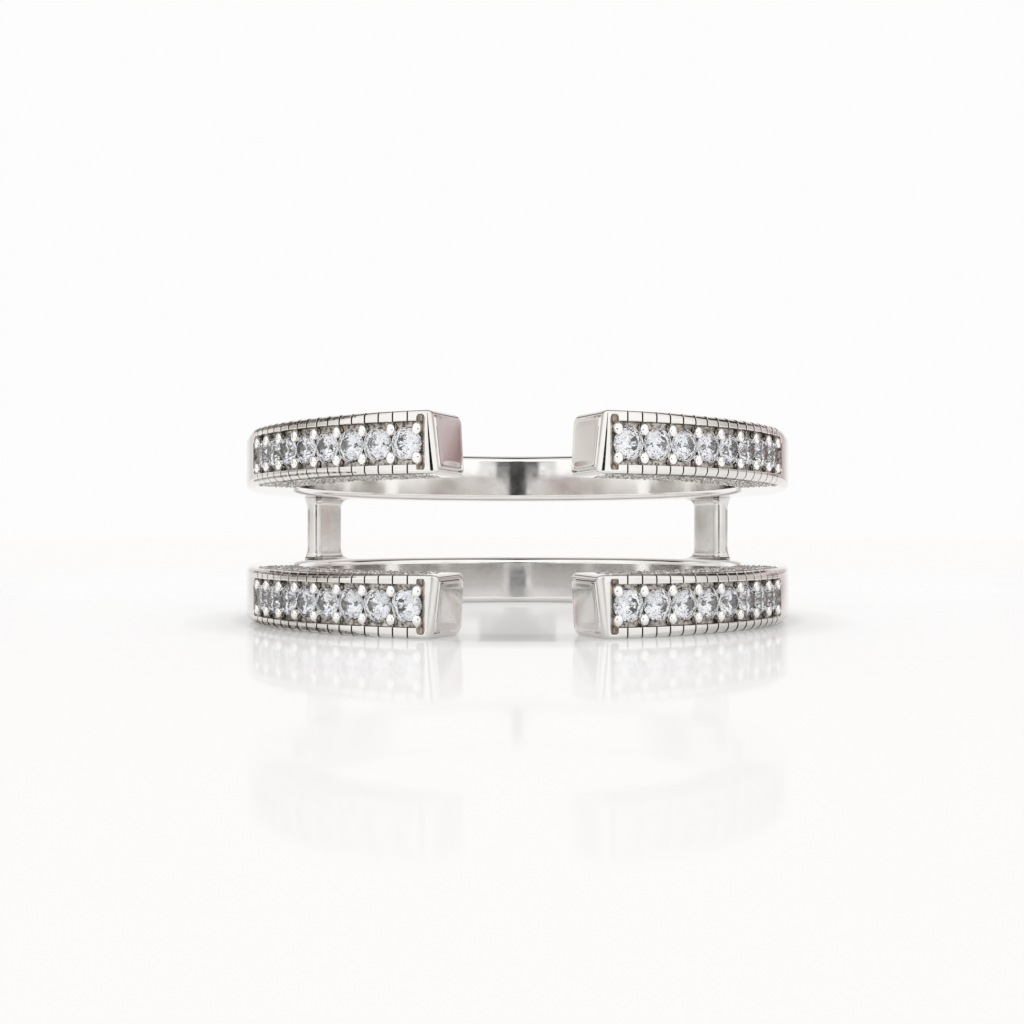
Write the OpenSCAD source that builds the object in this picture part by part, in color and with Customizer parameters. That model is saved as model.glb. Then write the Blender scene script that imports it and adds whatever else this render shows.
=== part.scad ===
// Ring guard enhancer: two parallel open bands joined by two bridge posts at the
// sides. Each band ends in two arms at the front (-Y), and each arm carries a row
// of bead-set round stones between two rails of small blocks. The origin is the
// centre of the finger hole, with +Z along the finger.

/* [Finger hole and bands] */
// Diameter of the finger hole
bore_d = 17.3; // [15.7:0.1:20.6]
// Radial thickness of the bands
band_t = 1.85; // [1.6:0.05:2.3]
// Width of each band along the finger
band_w = 2.15; // [2.1:0.05:2.6]
// Gap between the two bands at the sides and the back
gap_w = 2.7; // [2.2:0.1:4]
// How far each band is narrowed on its gap side at the ends of the arms
end_relief = 0.2; // [0:0.01:0.25]
// Rounding of the edges on the finger side
comfort_r = 0.25; // [0.1:0.05:0.5]
// Rounding of the outer edge behind the arms, away from the gap
shank_side_r = 0.4; // [0.1:0.05:0.6]
// Rounding of the outer edge behind the arms, beside the gap
shank_gap_r = 0.22; // [0.1:0.02:0.5]
// Rounding of the outer edges of the arms
arm_edge_r = 0.06; // [0.03:0.01:0.1]

/* [Arm ends] */
// Opening between the arm ends, measured at the outer face
opening_outer = 5.1; // [4:0.1:7]
// Opening between the arm ends, measured at the finger side
opening_inner = 3.4; // [2.6:0.1:4.6]
// Lean of each end face, wider apart away from the gap, in degrees
end_lean = 3; // [0:0.5:8]
// Plain cap between an arm's end and its channel, along the outer face
cap_w = 0.36; // [0.25:0.01:0.8]
// Plain strip between the channel's far end and the rounded shank
far_cap_w = 0.36; // [0.2:0.01:1]

/* [Stones] */
// Stones in each arm
stones_per_arm = 8; // [5:1:9]
// Girdle diameter of a stone
stone_d = 1; // [0.9:0.01:1.05]
// Space between neighbouring girdles
stone_gap = 0.03; // [0.02:0.01:0.1]
// Height of the crown above the girdle
crown_h = 0.15; // [0.1:0.01:0.18]
// Thickness of the girdle
girdle_t = 0.03; // [0.02:0.01:0.05]
// Depth of the pavilion below the girdle
pavilion_h = 0.43; // [0.38:0.01:0.48]
// Width of the table
table_d = 0.56; // [0.48:0.01:0.64]
// Clearance between a stone and its seat
seat_gap = 0.02; // [0.01:0.005:0.03]
// Height of the girdle above the channel floor
girdle_lift = 0.03; // [0.02:0.01:0.06]

/* [Channel and rails] */
// Depth of the channel below the rails
channel_depth = 0.25; // [0.2:0.01:0.35]
// Space between the girdles and each side wall of the channel
channel_side = 0.165; // [0.15:0.005:0.19]
// Space between the first and last girdle and the end walls
channel_end = 0.1; // [0.08:0.01:0.2]
// Width of the rail at the band's outer side
rail_w = 0.335; // [0.28:0.005:0.4]
// Blocks in each rail
blocks_per_rail = 17; // [10:1:20]
// Width of the groove between two blocks
groove_w = 0.07; // [0.04:0.01:0.12]
// Depth of the groove between two blocks, below the rounding of their edges
groove_d = 0.03; // [0.01:0.01:0.08]
// Reach of the groove down the side faces of the arm
groove_reach = 0.28; // [0.12:0.02:0.6]
// Diameter of the bead prongs
prong_d = 0.24; // [0.18:0.01:0.24]
// Height of the bead prongs above the channel floor
prong_h = 0.2; // [0.15:0.01:0.24]
// Space between a bead prong and the channel's side wall
prong_wall_gap = 0.1; // [0.03:0.01:0.11]

/* [Bridge posts] */
// Angle from the front to the middle of a post, in degrees
post_angle = 120.8; // [112:0.2:150]
// Width of a post round the ring
post_w = 1.76; // [1:0.02:2.6]
// Radial thickness of a post
post_t = 0.75; // [0.5:0.05:1.2]
// How far a post's outer face lies inside the bands' outer face
post_inset = 0.05; // [0.03:0.01:0.3]
// Fillet between post and band on the side facing the back
post_fillet_back = 0.45; // [0.1:0.05:0.8]
// Fillet between post and band on the side facing the arms
post_fillet_front = 0.2; // [0.1:0.05:0.6]

/* [Hidden] */
$fn = 96;
bead_fn = 24;
bore_r = bore_d / 2;
outer_r = bore_r + band_t;
half_h = gap_w / 2 + band_w;
// Length by which cutters run past what they cut
past = 0.2;
// Depth by which beads and posts are rooted in the band
root = 0.1;
// Depth at which the fillets of the posts run out inside the band
fillet_sink = 0.02;

channel_w = stone_d + 2 * channel_side;
channel_top = half_h - rail_w;
channel_z = channel_top - channel_w / 2;
floor_r = outer_r - channel_depth;
girdle_r = floor_r + girdle_lift;
stone_r = stone_d / 2;
table_r = table_d / 2;

post_outer_r = outer_r - post_inset;

// Angle that an arc of the given length takes at the given radius
function arc_deg(length, radius) = length / radius * 180 / PI;

end_angle = asin(opening_outer / 2 / outer_r);
channel_a0 = end_angle + arc_deg(cap_w, outer_r);
stone_a0 = channel_a0 + arc_deg(stone_r + channel_end, girdle_r);
stone_step = 2 * asin((stone_d + stone_gap) / 2 / girdle_r);
stone_a1 = stone_a0 + (stones_per_arm - 1) * stone_step;
channel_a1 = stone_a1 + arc_deg(stone_r + channel_end, girdle_r);
arm_a1 = channel_a1 + arc_deg(far_cap_w, outer_r);
groove_step = (channel_a1 - channel_a0) / blocks_per_rail;
prong_r = prong_d / 2;
prong_z = channel_w / 2 - prong_r - prong_wall_gap;
// Angle from an end wall to the nearest prongs, which stand partly in that wall
prong_end = arc_deg(0.6 * prong_r, floor_r);

// Corners of an end face in plan, and the direction of the face
end_outer_y = sqrt(pow(outer_r, 2) - pow(opening_outer / 2, 2));
end_inner_y = sqrt(pow(bore_r, 2) - pow(opening_inner / 2, 2));
end_splay = atan((opening_outer - opening_inner) / 2 / (end_outer_y - end_inner_y));
end_mid_x = (opening_outer + opening_inner) / 4;
end_mid_y = (end_outer_y + end_inner_y) / 2;
arm_a0 = asin(opening_inner / 2 / bore_r) / 2;

// Slope of the pavilion mains and of the crown mains
pavilion_tan = pavilion_h / stone_r;
crown_tan = crown_h / (stone_r - table_r);
// Corners of the star facets and of the lower girdle facets, as shares of the girdle
star_r = 0.8 * stone_r;
lower_r = 0.23 * stone_r;

// Half of the gap between the bands at an angle from the front
function half_gap(a) = gap_w / 2 + end_relief * max(0, cos(a));

sides = ["left", "right"];
levels = ["upper", "lower"];
function stone_name(l, s, i) = str("stone_", levels[l], "_", sides[s], "_", i + 1);

// Repeats its children on the right and on the left
module each_side() {
    for (flip_x = [0, 1]) mirror([flip_x, 0, 0]) children();
}

// Turns its children from the front to an angle towards the right
module at_angle(a) {
    rotate([0, 0, a]) children();
}

// Stands its children on the outside of the ring, their +Z pointing outwards
module facing_out(a, radius, z) {
    at_angle(a) translate([0, -radius, z]) rotate([90, 0, 0]) children();
}

// Sweeps a section in radius and height from one angle to another
module sweep(a0, a1) {
    rotate_extrude(angle = a1 - a0, start = a0 - 90) children();
}

// What is taken from a square corner at the origin to round it
module round_off(radius, flip_x, flip_y) {
    mirror([flip_x, 0]) mirror([0, flip_y]) difference() {
        translate([-radius, -radius]) square(2 * radius);
        translate([radius, radius]) circle(radius);
    }
}

// Section of the upper band, with its two outer edges rounded as asked
module band_section(gap_round, side_round) {
    difference() {
        translate([bore_r, gap_w / 2]) square([band_t, band_w]);
        translate([bore_r, gap_w / 2]) round_off(comfort_r, 0, 0);
        translate([bore_r, half_h]) round_off(comfort_r, 0, 1);
        translate([outer_r, gap_w / 2]) round_off(gap_round, 1, 0);
        translate([outer_r, half_h]) round_off(side_round, 1, 1);
    }
}

// What a fillet adds to a square corner at the origin
module fillet(radius) {
    difference() {
        square(radius);
        translate([radius, radius]) circle(radius);
    }
}

// Outline of a post seen from outside, with its fillets and its feet in both bands
module post_outline() {
    foot_w = post_w + post_fillet_back + post_fillet_front;
    square([post_w, gap_w + 2 * root], center = true);
    for (flip_y = [0, 1]) mirror([0, flip_y]) {
        translate([-post_w / 2 - post_fillet_front, -gap_w / 2 - shank_gap_r - root])
            square([foot_w, shank_gap_r + root - fillet_sink]);
        translate([post_w / 2, -gap_w / 2 - fillet_sink]) fillet(post_fillet_back);
        translate([-post_w / 2, -gap_w / 2 - fillet_sink]) mirror([1, 0]) fillet(post_fillet_front);
    }
}

module post() {
    intersection() {
        facing_out(post_angle, post_outer_r - post_t - past, 0)
            linear_extrude(post_t + 2 * past) post_outline();
        rotate_extrude()
            translate([post_outer_r - post_t, -half_h]) square([post_t, 2 * half_h]);
    }
}

// The wedge by which the gap between the bands opens towards the arm ends
module gap_relief() {
    rotate([90, 0, 90])
        linear_extrude(2 * (outer_r + past), center = true)
            polygon([
                [0, -gap_w / 2], [-outer_r, -half_gap(0)],
                [-outer_r, half_gap(0)], [0, gap_w / 2]
            ]);
}

// Cuts an arm off at its end face
module end_cut() {
    cut_h = 2 * band_w;
    translate([end_mid_x, -end_mid_y, gap_w / 2 + band_w / 2])
        rotate([0, end_lean, end_splay])
            translate([-opening_outer / 2, -band_t - past, -cut_h / 2])
                cube([opening_outer / 2, 2 * (band_t + past), cut_h]);
}

module channel() {
    sweep(channel_a0, channel_a1)
        translate([floor_r, channel_z - channel_w / 2]) square([channel_depth + past, channel_w]);
}

// A groove that crosses both rails and runs down both side faces
module groove(a) {
    low = half_gap(a);
    depth = arm_edge_r + groove_d;
    at_angle(a - 90) rotate([90, 0, 0])
        linear_extrude(groove_w, center = true) difference() {
            translate([outer_r - groove_reach, low - past])
                square([groove_reach + past, half_h - low + 2 * past]);
            translate([outer_r - groove_reach - past, low + depth])
                square([groove_reach + past - depth, half_h - low - 2 * depth]);
        }
}

// The cone that a stone's pavilion sits in
module seat(a) {
    drop = pavilion_h + seat_gap * sqrt(1 + pow(pavilion_tan, 2));
    tip_r = seat_gap / 2;
    facing_out(a, girdle_r, channel_z)
        translate([0, 0, tip_r * pavilion_tan - drop])
            cylinder(h = drop - tip_r * pavilion_tan, r1 = tip_r, r2 = drop / pavilion_tan, $fn = 48);
}

module bead_prong(a, z) {
    stem = root + prong_h - prong_r;
    facing_out(a, floor_r - root, channel_z + z)
        rotate_extrude($fn = bead_fn) intersection() {
            square([prong_r, stem + prong_r]);
            union() {
                square([prong_r, stem]);
                translate([0, stem]) circle(prong_r, $fn = bead_fn);
            }
        }
}

// Two bead prongs at every place between stones and at both ends of the channel
module bead_row() {
    places = concat(
        [channel_a0 + prong_end, channel_a1 - prong_end],
        [for (i = [1 : stones_per_arm - 1]) stone_a0 + (i - 0.5) * stone_step]
    );
    for (a = places, z = [-prong_z, prong_z]) bead_prong(a, z);
}

// The upper band before anything is cut from it: the rounded shank and two squarer arms
module band_blank() {
    sweep(arm_a1, 360 - arm_a1) band_section(shank_gap_r, shank_side_r);
    sweep(arm_a0, arm_a1) band_section(arm_edge_r, arm_edge_r);
    sweep(360 - arm_a1, 360 - arm_a0) band_section(arm_edge_r, arm_edge_r);
}

// The upper band with the channels, rails, seats and bead prongs of its two arms
module band() {
    difference() {
        band_blank();
        gap_relief();
        each_side() {
            end_cut();
            channel();
            for (i = [1 : blocks_per_rail - 1]) groove(channel_a0 + i * groove_step);
            for (i = [0 : stones_per_arm - 1]) seat(stone_a0 + i * stone_step);
        }
    }
    each_side() bead_row();
}

module ring_body() {
    color([0.86, 0.85, 0.84]) {
        for (flip_z = [0, 1]) mirror([0, 0, flip_z]) band();
        each_side() post();
    }
}

// Points of a round brilliant, its girdle's lower edge at height 0
function ring_points(radius, z, first, step, n) =
    [for (k = [0 : n - 1]) [radius * cos(first + k * step), radius * sin(first + k * step), z]];
star_z = girdle_t + (stone_r - star_r * cos(22.5)) * crown_tan;
lower_z = lower_r * cos(22.5) * pavilion_tan - pavilion_h;
brilliant_points = concat(
    ring_points(table_r, girdle_t + crown_h, 0, 45, 8),
    ring_points(star_r, star_z, 22.5, 45, 8),
    ring_points(stone_r, girdle_t, 0, 22.5, 16),
    ring_points(stone_r, 0, 0, 22.5, 16),
    ring_points(lower_r, lower_z, 22.5, 45, 8),
    [[0, 0, -pavilion_h]]
);
// Index of the first point of each ring of points
table_i = 0;
star_i = 8;
top_i = 16;
low_i = 32;
lower_i = 48;
culet_i = 56;
function wrap(k, n) = (k + n) % n;

module brilliant() {
    polyhedron(brilliant_points, concat(
        [[for (k = [7 : -1 : 0]) table_i + k]],
        [for (k = [0 : 7]) [table_i + k, table_i + wrap(k + 1, 8), star_i + k]],
        [for (k = [0 : 7]) [table_i + k, star_i + k, top_i + 2 * k, star_i + wrap(k - 1, 8)]],
        [for (k = [0 : 7]) [star_i + k, top_i + 2 * k + 1, top_i + 2 * k]],
        [for (k = [0 : 7]) [star_i + k, top_i + wrap(2 * k + 2, 16), top_i + 2 * k + 1]],
        [for (k = [0 : 15]) [top_i + k, top_i + wrap(k + 1, 16), low_i + wrap(k + 1, 16), low_i + k]],
        [for (k = [0 : 7]) [lower_i + k, low_i + 2 * k, low_i + 2 * k + 1]],
        [for (k = [0 : 7]) [lower_i + k, low_i + 2 * k + 1, low_i + wrap(2 * k + 2, 16)]],
        [for (k = [0 : 7]) [culet_i, lower_i + wrap(k - 1, 8), low_i + 2 * k, lower_i + k]]
    ));
}

// A stone of the row in one arm, counted from the arm's end
module stone(l, s, i) {
    a = stone_a0 + i * stone_step;
    color([0.82, 0.88, 0.96])
        facing_out(s == 1 ? a : -a, girdle_r, l == 0 ? channel_z : -channel_z)
            brilliant();
}

ring_body();
for (l = [0, 1], s = [0, 1], i = [0 : stones_per_arm - 1])
    stone(l, s, i);
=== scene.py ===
import math
import random

import bmesh
import bpy
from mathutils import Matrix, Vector, noise


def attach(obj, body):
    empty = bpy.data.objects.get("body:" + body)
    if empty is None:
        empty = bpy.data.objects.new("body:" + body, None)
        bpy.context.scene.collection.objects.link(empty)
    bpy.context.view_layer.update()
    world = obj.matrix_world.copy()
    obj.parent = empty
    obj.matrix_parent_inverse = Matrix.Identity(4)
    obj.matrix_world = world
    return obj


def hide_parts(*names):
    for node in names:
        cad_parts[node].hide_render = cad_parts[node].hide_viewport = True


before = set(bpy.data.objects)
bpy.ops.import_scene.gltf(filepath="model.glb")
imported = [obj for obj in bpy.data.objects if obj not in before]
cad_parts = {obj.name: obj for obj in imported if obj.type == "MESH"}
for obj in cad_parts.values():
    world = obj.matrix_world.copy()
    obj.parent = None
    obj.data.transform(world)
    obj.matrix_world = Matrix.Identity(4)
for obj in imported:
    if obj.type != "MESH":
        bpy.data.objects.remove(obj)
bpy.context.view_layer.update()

# Metres in a millimetre
MM = 0.001

# Sizes of the ring in millimetres and degrees, the same as in the part's source
BORE_R = 8.65
BAND_T = 1.85
BAND_W = 2.15
GAP_W = 2.7
END_RELIEF = 0.2
COMFORT_R = 0.25
SHANK_SIDE_R = 0.4
SHANK_GAP_R = 0.22
OPENING_OUTER = 5.1
OPENING_INNER = 3.4
END_LEAN = 3
CAP_W = 0.36
FAR_CAP_W = 0.36
STONES_PER_ARM = 8
STONE_D = 1.0
STONE_GAP = 0.03
PAVILION_H = 0.43
SEAT_GAP = 0.02
GIRDLE_LIFT = 0.03
CHANNEL_DEPTH = 0.25
CHANNEL_SIDE = 0.165
CHANNEL_END = 0.1
RAIL_W = 0.335
BLOCKS_PER_RAIL = 17
PRONG_WALL_GAP = 0.1
PRONG_D = 0.24
POST_ANGLE = 120.8
POST_W = 1.76
POST_T = 0.75
POST_INSET = 0.05
POST_FILLET_BACK = 0.45
POST_FILLET_FRONT = 0.2

# Sizes from here on are only in the looks, in millimetres where nothing else is said

# Arms: rounding of the outer edges at the end and near the shank, and degrees that it grows over
ARM_EDGE_R = 0.08
ARM_EDGE_R_FAR = 0.27
EDGE_GROWTH_DEG = 24

# Grooves: depth, widths near the end and near the shank, spread over the side's edge in widths, reach
# inwards with the stretch that they deepen over, and profile of a side as places and depths
GROOVE_DEPTH = 0.1
GROOVE_LINE_W = 0.036
GROOVE_LINE_W_FAR = 0.075
NOTCH_SPREAD = 1.6
GROOVE_REACH = 0.3
GROOVE_START = 0.04
GROOVE_SIDE = ((-0.008, 0.0), (0.0, 0.012), (0.007, GROOVE_DEPTH))

# Channel: bevel of the rails, slope of the walls, depth of the trough below, shift of the end walls
RAIL_BEVEL = 0.025
WALL_DRAFT = 0.02
TROUGH_DEPTH = 0.85
END_WALL_SHIFT = 0.06

# Scoop at the near end: radius of its round top, cut into the rails, slope as places and depths
END_ARCH_R = 0.135
END_ARCH_RISE = 0.22
SCOOP_SLOPE = ((0.02, 0.045), (0.06, 0.09), (0.1, 0.15), (0.14, 0.215))
SCOOP_W = 0.19
SCOOP_DEPTH = CHANNEL_DEPTH + 0.015

# Wall at the far end: radius and share of its round corners, upper step, width and depth
FAR_ARCH_R = 0.25
FAR_ARCH_SHARE = 0.8
FAR_WALL_STEP = (0.01, 0.12)
FAR_WALL_W = 0.1
FAR_WALL_DEPTH = CHANNEL_DEPTH + 0.02

# Ends: rounding outside and inside, and lean outside per millimetre
END_ROUND_OUTER = 0.18
END_ROUND_INNER = 0.14
END_LEAN_OUTER = 0.055

# End panels: lines, outer strip, lip, border, corners, from where on the edge is sunk as shares of
# the thickness and the height, bulge with its inset, and sizes of the outlines
PANEL_LINE_W = 0.03
PANEL_LINE_DEPTH = 0.02
PANEL_STRIP_W = 0.06
PANEL_STRIP_DEPTH = 0.04
PANEL_LIP_W = 0.08
PANEL_BORDER = 0.05
PANEL_CORNER_R = 0.12
PANEL_EDGE_FROM = 0.6
PANEL_EDGE_HEIGHT = 0.25
PANEL_BULGE = 0.015
BULGE_INSET = 0.2
PANEL_SIZES = (0.04, 0.2, 0.4, 0.6, 0.75, 0.9, 1.0)

# Beads: fullness, inset from the near end, share of the radius from the far end, shift to the rail,
# lift, half length and width, height, lean, and degrees from the foot to the top
BEAD_POWER = 0.7
NEAR_BEAD_INSET = 0.24
FAR_BEAD_SHARE = 0.6
BEAD_SHIFT = 0.03
BEAD_LIFT = 0.08
BEAD_HALF = (0.165, 0.215)
BEAD_H = 0.15
BEAD_LEAN = 0.05
BEAD_SPAN = (-20, 80)

# Channel floor: unevenness with its pattern along and across, sinking, overlaps at sides and ends
BED_ROUGH = 0.018
BED_PATTERN = (3.1, 14)
BED_SINK = 0.02
BED_OVERLAP = 0.01
BED_END_DEG = 0.05

# Seat rims, a painted highlight at the stones' edges: radius, distance from the stone, lift, and
# degrees to each side
RIM_R = 0.02
RIM_OUT = 0.008
RIM_LIFT = 0.012
RIM_SPAN = 80

# Grains: pitch, random shift, inset from the hole, radii, heights, and profile as shares
GRAIN_PITCH = 0.125
GRAIN_SHIFT = 0.03
GRAIN_INSET = 0.42
GRAIN_R = (0.04, 0.066)
GRAIN_H = (0.02, 0.055)
GRAIN_PROFILE = ((1.0, -0.3), (0.8, 0.55), (0.35, 0.95))

# Posts: rounding of the edges and, outside, of the feet, flare inside, and depth in the bands
POST_EDGE_R = 0.3
POST_FOOT_EDGE_R = 0.06
POST_FLARE_INSIDE = 0.25
POST_SUNK = 0.3

# Steps of a rounding, of an end, of the change from arm to shank and of half the shank
ARC_STEPS = 6
END_STEPS = 10
CHANGE_STEPS = 10
SHANK_STEPS = 60
# Degrees of that change
CHANGE_DEG = 5

# Least rounding in a groove, and distance of points that keep a rounding tight
LEAST_EDGE_R = 0.02
SUPPORT = 0.015

# Places of points between corners as shares, and on the flat sides from the hole and the grooves
INNER_LOOPS = (0.02, 0.2, 0.4, 0.6, 0.8, 0.98)
POST_LOOPS = (0.05, 0.3, 0.5, 0.7, 0.95)
POST_SIDE_LOOPS = (0.1, 0.5, 0.9)
SIDE_LOOPS = (0.35, 0.2)

# Difference below which two sizes count as the same
TINY = 0.001

OUTER_R = BORE_R + BAND_T
HALF_H = GAP_W / 2 + BAND_W
CHANNEL_W = STONE_D + 2 * CHANNEL_SIDE
CHANNEL_TOP = HALF_H - RAIL_W
CHANNEL_LOW = CHANNEL_TOP - CHANNEL_W
CHANNEL_Z = (CHANNEL_TOP + CHANNEL_LOW) / 2
FLOOR_R = OUTER_R - CHANNEL_DEPTH
GIRDLE_R = FLOOR_R + GIRDLE_LIFT
STONE_R = STONE_D / 2


def arc_deg(length, radius):
    """Angle that an arc of this length takes at this radius."""
    return math.degrees(length / radius)


END_ANGLE = math.degrees(math.asin(OPENING_OUTER / 2 / OUTER_R))
CHANNEL_A0 = END_ANGLE + arc_deg(CAP_W, OUTER_R)
STONE_A0 = CHANNEL_A0 + arc_deg(STONE_R + CHANNEL_END, GIRDLE_R)
STONE_STEP = 2 * math.degrees(math.asin((STONE_D + STONE_GAP) / 2 / GIRDLE_R))
STONE_A1 = STONE_A0 + (STONES_PER_ARM - 1) * STONE_STEP
CHANNEL_A1 = STONE_A1 + arc_deg(STONE_R + CHANNEL_END, GIRDLE_R)
ARM_A1 = CHANNEL_A1 + arc_deg(FAR_CAP_W, OUTER_R)
GROOVE_STEP = (CHANNEL_A1 - CHANNEL_A0) / BLOCKS_PER_RAIL
POST_OUTER_R = OUTER_R - POST_INSET


def mix(a, b, t):
    return a + (b - a) * t


def smooth(t):
    t = min(1.0, max(0.0, t))
    return t * t * (3 - 2 * t)


def half_gap(a, radius=OUTER_R):
    """Half of the gap between the bands at an angle from the front."""
    return GAP_W / 2 + END_RELIEF * max(0.0, radius / OUTER_R * math.cos(math.radians(a)))


def on_ring(a, radius, z):
    """Point at an angle from the front, a radius and a height, in millimetres."""
    t = math.radians(a)
    return radius * math.sin(t), -radius * math.cos(t), z


def arc(cr, cz, radius, first, last):
    steps = [math.radians(mix(first, last, k / ARC_STEPS)) for k in range(ARC_STEPS + 1)]
    return [(cr + radius * math.cos(t), cz + radius * math.sin(t)) for t in steps]


def section(
    low, edge_gap=ARM_EDGE_R, edge_side=ARM_EDGE_R, depth=0.0, groove=0.0, narrow=0.0, shelf=0.0,
):
    """Closed outline (radius, height) of the upper band, with the trough that holds the bed.

    A shelf is the depth of the trough beside the channel, where a scoop widens it."""
    top_r = OUTER_R - groove
    cut = min(depth, RAIL_BEVEL)
    edge_gap = max(edge_gap - groove, LEAST_EDGE_R)
    edge_side = max(edge_side - groove, LEAST_EDGE_R)
    arm_low, arm_high = low + ARM_EDGE_R, HALF_H - ARM_EDGE_R
    flat_low, flat_high = low + groove + edge_gap, HALF_H - groove - edge_side
    base_r = top_r if depth == 0 else OUTER_R - max(depth, groove)
    foot_r = OUTER_R - shelf if shelf else base_r
    edge_low = max(CHANNEL_LOW + narrow, flat_low + RAIL_BEVEL + 2 * SUPPORT)
    edge_high = min(CHANNEL_TOP - narrow, flat_high - RAIL_BEVEL - 2 * SUPPORT)

    def side(z, radius):
        share = (z - arm_low) / (arm_high - arm_low)
        if depth == 0:
            z = mix(flat_low, flat_high, share)
        return radius, z

    def face(z_edge, sign):
        """Outer face of one rail up to the foot of the channel's wall."""
        return [
            side(z_edge - sign * (RAIL_BEVEL + SUPPORT), top_r),
            side(z_edge - sign * RAIL_BEVEL, top_r),
            side(z_edge - sign * RAIL_BEVEL * 0.3, top_r - cut * 0.3),
            side(z_edge, top_r - cut),
            side(z_edge + sign * WALL_DRAFT * 0.6, mix(top_r - cut, foot_r, 0.6)),
            side(z_edge + sign * WALL_DRAFT, foot_r),
        ]

    reach = OUTER_R - GROOVE_REACH
    walls = [
        (BORE_R + COMFORT_R + SUPPORT, 0.0),
        (BORE_R + COMFORT_R + SIDE_LOOPS[0], 0.0),
        (reach - SIDE_LOOPS[1], 0.0),
        (reach, 0.0),
        (reach + GROOVE_START, groove),
    ]
    gap_face = [(r, low + g) for r, g in walls]
    side_face = [(r, HALF_H - g) for r, g in reversed(walls)]
    inner_low, inner_high = low + COMFORT_R, HALF_H - COMFORT_R
    inner = [(BORE_R, mix(inner_high, inner_low, t)) for t in INNER_LOOPS]
    floor = [side(mix(edge_low, edge_high, t), base_r) for t in (0.25, 0.5, 0.75)]
    if shelf:
        floor = [(foot_r, CHANNEL_LOW), (base_r, CHANNEL_Z), (foot_r, CHANNEL_TOP)]
    return (
        arc(BORE_R + COMFORT_R, low + COMFORT_R, COMFORT_R, 180, 270)
        + gap_face
        + arc(top_r - edge_gap, low + groove + edge_gap, edge_gap, 270, 360)
        + [(top_r, flat_low + SUPPORT)]
        + face(edge_low, 1)
        + floor
        + face(edge_high, -1)[::-1]
        + [(top_r, flat_high - SUPPORT)]
        + arc(top_r - edge_side, HALF_H - groove - edge_side, edge_side, 0, 90)
        + side_face
        + arc(BORE_R + COMFORT_R, HALF_H - COMFORT_R, COMFORT_R, 90, 180)
        + inner
    )


def end_plane():
    """Normal of the right upper arm's end face, into the metal, and its distance."""
    outer_y = math.sqrt(OUTER_R ** 2 - (OPENING_OUTER / 2) ** 2)
    inner_y = math.sqrt(BORE_R ** 2 - (OPENING_INNER / 2) ** 2)
    splay = math.atan((OPENING_OUTER - OPENING_INNER) / 2 / (outer_y - inner_y))
    lean = math.radians(END_LEAN)
    flat = math.cos(lean)
    normal = Vector((math.cos(splay) * flat, math.sin(splay) * flat, -math.sin(lean)))
    middle_x, middle_y = (OPENING_OUTER + OPENING_INNER) / 4, -(outer_y + inner_y) / 2
    middle = Vector((middle_x, middle_y, GAP_W / 2 + BAND_W / 2))
    return normal, normal.dot(middle)


END_NORMAL, END_DISTANCE = end_plane()


def end_angle_at(radius, z, inside):
    """Angle of the point at this radius and height that lies this far inside the end face."""
    flat = math.hypot(END_NORMAL.x, END_NORMAL.y)
    turn = math.atan2(END_NORMAL.y, END_NORMAL.x)
    reach = (END_DISTANCE + inside - END_NORMAL.z * z) / (flat * radius)
    return math.degrees(turn + math.asin(reach))


def outer_lean(share, z):
    """How much further the end leans towards the outside, at a share of the band's thickness."""
    return END_LEAN_OUTER * share * (z - GAP_W / 2 - BAND_W / 2)


def end_station(t):
    """Section at an angle t, in degrees, round the rounding of an end: 0 where it starts."""
    low = half_gap(END_ANGLE)
    shrink = 1 - math.cos(math.radians(t))
    rest = 1 - math.sin(math.radians(t))
    points = []
    for radius, z in section(low):
        share = (radius - BORE_R) / BAND_T
        rounding = mix(END_ROUND_INNER, END_ROUND_OUTER, share)
        around = END_ROUND_INNER * shrink
        height = (z - low) / (HALF_H - low)
        new_z = mix(low + around, HALF_H - around, height)
        new_r = mix(BORE_R + around, OUTER_R - END_ROUND_OUTER * shrink, share)
        inside = rounding * rest + outer_lean(share, new_z) * (1 - rest)
        points.append((new_r, end_angle_at(new_r, new_z, inside), new_z))
    return points


def panel_station(line, inside, lip=0.0, strip=0.0, size=1.0):
    """Outline on the end face: its distance from the rim, with a wider lip and outer strip.

    A size below 1 gives an outline inside the panel, which bulges a little."""
    low = half_gap(END_ANGLE)
    middle_r, middle_z = BORE_R + BAND_T / 2, (low + HALF_H) / 2
    points = []
    for radius, z in section(low, edge_gap=PANEL_CORNER_R, edge_side=PANEL_CORNER_R):
        share = (radius - BORE_R) / BAND_T
        height = (z - low) / (HALF_H - low)
        outwards = smooth((share - PANEL_EDGE_FROM) / (1 - PANEL_EDGE_FROM))
        edge = max(outwards, smooth(1 - height / PANEL_EDGE_HEIGHT))
        new_z = mix(low + END_ROUND_INNER + line + lip, HALF_H - END_ROUND_INNER - line, height)
        new_r = mix(BORE_R + END_ROUND_INNER + line, OUTER_R - END_ROUND_OUTER - line - strip, share)
        new_z, new_r = mix(middle_z, new_z, size), mix(middle_r, new_r, size)
        depth = inside * edge + outer_lean(mix(0.5, share, size), new_z)
        if size < 1:
            across = (new_r - middle_r) / (BAND_T / 2 - BULGE_INSET)
            upwards = (new_z - middle_z) / (BAND_W / 2 - BULGE_INSET)
            depth -= PANEL_BULGE * max(0.0, 1 - across ** 2) * max(0.0, 1 - upwards ** 4)
        points.append((new_r, end_angle_at(new_r, new_z, depth), new_z))
    return points


# What a section is part of: plain metal, a line round the end's panel, the channel or a groove
PLAIN, LINE, TROUGH, GROOVE = range(4)


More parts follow.
